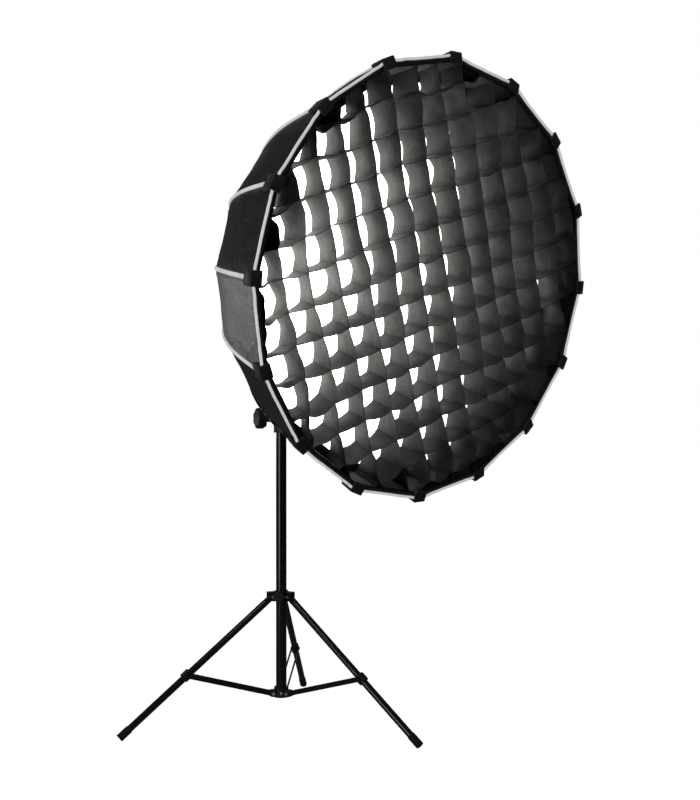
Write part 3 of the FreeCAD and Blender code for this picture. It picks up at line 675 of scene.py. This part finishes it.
grid_code = bmesh.new()
grid_code.loops.layers.uv.new("cloth")
for kind, shift, cross_shift in (("column", column_shift, row_shift), ("row", row_shift, column_shift)):
    for line in range(-8, 8):
        at = shift + line * cell
        if abs(at) > grid_radius:
            continue
        strip = bmesh.ops.create_grid(grid_code, x_segments=16 * 9, y_segments=6, size=1)["verts"]
        for vert in strip:
            along = vert.co.x * 8 * cell
            depth = (vert.co.y + 1) / 2
            reach = along + cross_shift
            bulge = at + wall_offset(kind, line, along, depth, math.hypot(at, reach))
            forward_by = -(grid_back + depth * grid_depth)
            spot = Vector((bulge, forward_by, reach) if kind == "column" else (reach, forward_by, bulge))
            spread = 1 + lattice_flare / grid_radius * depth
            vert.co = Vector((spot.x * spread, spot.y, spot.z * spread)) + lattice_drift(spot, depth)
        # Rows take the darker copy of the cloth, which is painted shade.
        for face in {face for vert in strip for face in vert.link_faces}:
            face.material_index = 0 if kind == "column" else 1
bmesh.ops.transform(grid_code, matrix=lattice, verts=grid_code.verts)


def grid_ring_surface(across, along):
    radius = grid_radius + grid_flare * along
    side = across * radius * math.cos(half_step) * math.sin(half_step)
    return Vector((side, -(grid_back + along * grid_depth), radius - abs(side) * math.tan(half_step)))


for number in ribs:
    place = rib_place(number)
    for side in (0, 1):
        turn = place @ Matrix.Rotation((1 - 2 * side) * half_step, 4, "Y")
        edge = grid_radius * math.cos(half_step)
        lean = math.atan2(grid_flare, grid_depth)
        bmesh.ops.bisect_plane(
            grid_code, geom=grid_code.verts[:] + grid_code.edges[:] + grid_code.faces[:],
            plane_co=turn @ Vector((0, -grid_back, edge)),
            plane_no=turn.to_3x3() @ Vector((0, math.sin(lean), math.cos(lean))), clear_outer=True)
for number in ribs:
    place = rib_place(number)
    sector_code = grid_code.copy()
    for side in (-1, 1):
        bmesh.ops.bisect_plane(
            sector_code, geom=sector_code.verts[:] + sector_code.edges[:] + sector_code.faces[:],
            plane_co=place @ Vector((0, -grid_back, 0)),
            plane_no=place.to_3x3() @ Vector((side * math.cos(half_step), 0, -math.sin(half_step))),
            clear_outer=True)
    ring_verts = cloth_grid(sector_code, 14, 5, grid_ring_surface)
    bmesh.ops.transform(sector_code, matrix=place, verts=ring_verts)
    # The ring takes the darker copy too, which is painted shade.
    for face in {face for vert in ring_verts for face in vert.link_faces}:
        face.material_index = 1
    sector = add_piece("grid_%02d" % number, sector_code, [grid_cloth, painted_shade_grid_cloth], "softbox")
    sector.parent = None
    thicken(sector, grid_thick)
    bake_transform(sector)
    if number == 1:
        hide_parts("grid")
grid_code.free()

# --- stand tubes, hub, collars and legs -----------------------------------------------------------
# Drawn aluminium tube with a gloss black anodised coat, die-cast joints, steel rivets, rubber tips.


def finish_nodes(material, *names):
    for name in names:
        node = frame["nodes"][name]
        if not node.material_slots:
            node.data.materials.append(material)
        for slot in node.material_slots:
            slot.material = material


tube_coat = new_material("black_tube", (0.008, 0.008, 0.009), 0.22, Coat_Weight=0.6, Coat_Roughness=0.08)
tube_place = add_node(tube_coat, "TexCoord").outputs["Object"]
tube_haze = add_node(tube_coat, "TexNoise", tube_place, Scale=40, Detail=5)
colour_between(tube_coat, tube_haze.outputs["Fac"], (0.006, 0.006, 0.007), (0.013, 0.013, 0.014))
tube_grain = add_node(tube_coat, "TexNoise", tube_place, Scale=900, Detail=2)
add_bump(tube_coat, tube_grain.outputs["Fac"], 0.08, 0.0002)
finish_nodes(tube_coat, "lower_tube", "mid_tube", "top_tube", "leg_1", "leg_2", "leg_3",
             "brace_1", "brace_2", "brace_3")

casting = new_material("black_casting", (0.02, 0.02, 0.021), 0.45)
casting_place = add_node(casting, "TexCoord").outputs["Object"]
casting_skin = add_node(casting, "TexNoise", casting_place, Scale=420, Detail=4)
casting_tone = add_node(casting, "TexNoise", casting_place, Scale=30, Detail=3)
colour_between(casting, casting_tone.outputs["Fac"], (0.014, 0.014, 0.015), (0.032, 0.032, 0.034))
add_bump(casting, casting_skin.outputs["Fac"], 0.35, 0.0006)
finish_nodes(casting, "bottom_hub", "leg_collar", "lower_collar", "mid_collar", "receiver", "yoke")

steel = new_material("steel", (0.8, 0.8, 0.8), 0.28, Metallic=0.45)
steel_place = add_node(steel, "TexCoord").outputs["Object"]
steel_brush = add_node(steel, "TexNoise", steel_place, Scale=500, Detail=3)
colour_between(steel, steel_brush.outputs["Fac"], (0.75, 0.75, 0.75), (0.92, 0.92, 0.91))
add_bump(steel, steel_brush.outputs["Fac"], 0.15, 0.0003)
finish_nodes(steel, "hub_rivets", "collar_rivets", "spigot", "hinge_pins", "tilt_pins")

rubber = new_material("rubber", (0.018, 0.018, 0.018), 0.8)
rubber_place = add_node(rubber, "TexCoord").outputs["Object"]
rubber_skin = add_node(rubber, "TexNoise", rubber_place, Scale=260, Detail=4)
colour_between(rubber, rubber_skin.outputs["Fac"], (0.012, 0.012, 0.012), (0.03, 0.03, 0.029))
add_bump(rubber, rubber_skin.outputs["Fac"], 0.4, 0.0006)
finish_nodes(rubber, "leg_tip_1", "leg_tip_2", "leg_tip_3")

rib_paint = new_material("rib_steel", (0.02, 0.02, 0.022), 0.35, Metallic=0.6)
rib_paint_place = add_node(rib_paint, "TexCoord").outputs["Object"]
rib_paint_tone = add_node(rib_paint, "TexNoise", rib_paint_place, Scale=80, Detail=4)
colour_between(rib_paint, rib_paint_tone.outputs["Fac"], (0.014, 0.014, 0.015), (0.04, 0.04, 0.042))
finish_nodes(rib_paint, *[rib_name(number) for number in ribs])

# --- lamp head ------------------------------------------------------------------------------------
# An aluminium housing with a fine powder coat, moulded plates, and bright parts inside the bore.
powder = new_material("lamp_powder_coat", (0.03, 0.03, 0.032), 0.5)
powder_place = add_node(powder, "TexCoord").outputs["Object"]
powder_skin = add_node(powder, "TexNoise", powder_place, Scale=700, Detail=3)
powder_tone = add_node(powder, "TexNoise", powder_place, Scale=18, Detail=3)
colour_between(powder, powder_tone.outputs["Fac"], (0.022, 0.022, 0.024), (0.04, 0.04, 0.043))
add_bump(powder, powder_skin.outputs["Fac"], 0.4, 0.0005)
finish_nodes(powder, "housing", "speed_ring", "mount_ring")

moulded = new_material("moulded_plastic", (0.02, 0.02, 0.021), 0.55)
moulded_place = add_node(moulded, "TexCoord").outputs["Object"]
moulded_grain = add_node(moulded, "TexVoronoi", moulded_place, Scale=900)
moulded_tone = add_node(moulded, "TexNoise", moulded_place, Scale=25, Detail=3)
colour_between(moulded, moulded_tone.outputs["Fac"], (0.014, 0.014, 0.015), (0.028, 0.028, 0.030))
add_bump(moulded, moulded_grain.outputs["Distance"], 0.3, 0.0004)
finish_nodes(moulded, "rear_panel", "bayonet_plate", "fan", "dial", "power_switch", "inlet", "tilt_knob")

# --- lock knobs -----------------------------------------------------------------------------------
# Seven-lobed moulded nylon knobs with a recessed face and a steel screw through the collar boss.
knob_lobes = 7
knob_profile = ((0, 0.55), (0, 0.86), (0.06, 0.95), (0.16, 1.0), (0.72, 1.0), (0.88, 0.95), (0.97, 0.84),
                (1.0, 0.72), (0.97, 0.62), (0.86, 0.58), (0.86, 0.40), (0.96, 0.36), (0.98, 0.30))
knob_screw_radius = 0.003


def facing_way(spot, direction):
    """A placement at a spot with its Z axis along a direction."""
    return Matrix.Translation(spot) @ Vector(direction).to_track_quat("Z", "Y").to_matrix().to_4x4()


def ring_at(height, radius):
    return Matrix.Translation((0, 0, height)) @ Matrix.Diagonal((radius, radius, 1, 1))


def knob_sizes(node_name, joint):
    """Radius, back, outer face and screw end of a CAD knob, measured along its joint's axis."""
    axis, centre = Vector(joint["axis"]), Vector(joint["pos_m"])
    heights, radii = [], []
    for vert in frame["nodes"][node_name].data.vertices:
        height = (vert.co - centre).dot(axis)
        heights.append(height)
        radii.append((vert.co - centre - axis * height).length)
    radius = max(radii)
    back = min(height for height, reach in zip(heights, radii) if reach > radius / 2)
    return radius, back, max(heights), min(heights)


for node_name, joint_name in (("lower_lock_knob", "lower_knob_turn"), ("mid_lock_knob", "mid_knob_turn"),
                              ("receiver_knob", "receiver_knob_turn"), ("collar_knob", "collar_knob_turn")):
    joint = joints[joint_name]
    radius, back, front, screw_end = knob_sizes(node_name, joint)
    place = facing_way(joint["pos_m"], joint["axis"])
    depth = front - back
    rings = [ring_at(back + rise * depth, radius * width) for rise, width in knob_profile]
    knob_code = bmesh.new()
    sweep(knob_code, rings, 84, knob_lobes, 0.15)
    plain = len(knob_code.faces)
    screw_rings = [ring_at(height, knob_screw_radius) for height in (screw_end, back + 0.2 * depth)]
    sweep(knob_code, screw_rings, 20)
    knob_code.faces.ensure_lookup_table()
    for face in knob_code.faces[plain:]:
        face.material_index = 1
    bmesh.ops.transform(knob_code, matrix=place, verts=knob_code.verts)
    knob = add_piece(node_name + "_moulding", knob_code, [moulded, steel], joint["child"])
    knob.data.set_sharp_from_angle(angle=math.radians(50))
    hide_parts(node_name)

# --- rivet heads and brace clips ------------------------------------------------------------------
# Domed nickel-plated rivet heads on the hub and collar pivots, a set screw in the hub, and the
# moulded clip that joins each pair of brace strips to its leg.
head_radius = 0.0042
head_rise = 0.0018
head_profile = ((-0.4, 1.0), (0.1, 1.0), (0.5, 0.93), (0.8, 0.75), (0.95, 0.5), (1.0, 0.2))
set_screw_radius = 0.0036
set_screw_reach = 0.0168
clip_half = Vector((0.0083, 0.011, 0.0098))


def dome(mesh_code, spot, direction, radius=head_radius):
    place = facing_way(spot, direction)
    rings = [place @ ring_at(head_rise * height, radius * width) for height, width in head_profile]
    sweep(mesh_code, rings, 24)


def heads_on(name, joint_prefix, node_name, body):
    """A dome over both ends of each rivet in a CAD rivet set."""
    head_code = bmesh.new()
    for number in (1, 2, 3):
        joint = joints["%s_%d" % (joint_prefix, number)]
        axis, centre = Vector(joint["axis"]), Vector(joint["pos_m"])
        node_verts = frame["nodes"][node_name].data.vertices
        near = [vert.co for vert in node_verts if (vert.co - centre).length < 0.02]
        reach = max((spot - centre).dot(axis) for spot in near)
        for side in (-1, 1):
            dome(head_code, centre + axis * reach * side, axis * side)
    return add_piece(name, head_code, [steel], body)


heads_on("hub_rivet_heads", "brace_hinge", "hub_rivets", "column")
heads_on("collar_rivet_heads", "leg_hinge", "collar_rivets", "leg_collar")
hub_centre = Vector(joints["lamp_swivel"]["pos_m"])
hub_centre.z = joints["brace_hinge_1"]["pos_m"][2]
set_screw_code = bmesh.new()
set_screw_way = Vector((-0.60, -0.80, 0))
dome(set_screw_code, hub_centre + set_screw_way * set_screw_reach, set_screw_way, set_screw_radius)
add_piece("hub_set_screw", set_screw_code, [steel], "column")

for number in (1, 2, 3):
    top = Vector(joints["leg_hinge_%d" % number]["pos_m"])
    hub_pivot = Vector(joints["brace_hinge_%d" % number]["pos_m"])
    brace_verts = [vert.co.copy() for vert in frame["nodes"]["brace_%d" % number].data.vertices]
    far = sorted(brace_verts, key=lambda spot: -(spot - hub_pivot).length)[:60]
    end = sum(far, Vector()) / len(far)
    axis = Vector(joints["leg_hinge_%d" % number]["axis"])
    end -= axis * (end - top).dot(axis) + (end - hub_pivot).normalized() * 0.0045
    along_leg = (end - top).normalized()
    place = Matrix.Translation(end) @ Matrix((axis, along_leg, axis.cross(along_leg))).transposed().to_4x4()
    clip_code = bmesh.new()
    rounded_block(clip_code, -clip_half, clip_half, 0.002, 3, place)
    add_piece("brace_clip_%d" % number, clip_code, [moulded], "leg_%d" % number)

# --- display and LED module -----------------------------------------------------------------------
# Dark glass over the rear panel's display, and bright aluminium for the LED module in the bore.
glass = new_material("display_glass", (0.01, 0.012, 0.016), 0.08, Coat_Weight=1.0)
glass_place = add_node(glass, "TexCoord").outputs["Object"]
glass_tone = add_node(glass, "TexNoise", glass_place, Scale=15)
colour_between(glass, glass_tone.outputs["Fac"], (0.008, 0.010, 0.014), (0.014, 0.018, 0.024))
finish_nodes(glass, "display")

bright = new_material("aluminium", (0.7, 0.7, 0.7), 0.4, Metallic=1.0)
bright_place = add_node(bright, "TexCoord").outputs["Object"]
bright_tone = add_node(bright, "TexNoise", bright_place, Scale=300, Detail=3)
colour_between(bright, bright_tone.outputs["Fac"], (0.6, 0.6, 0.6), (0.8, 0.8, 0.8))
finish_nodes(bright, "led_module")
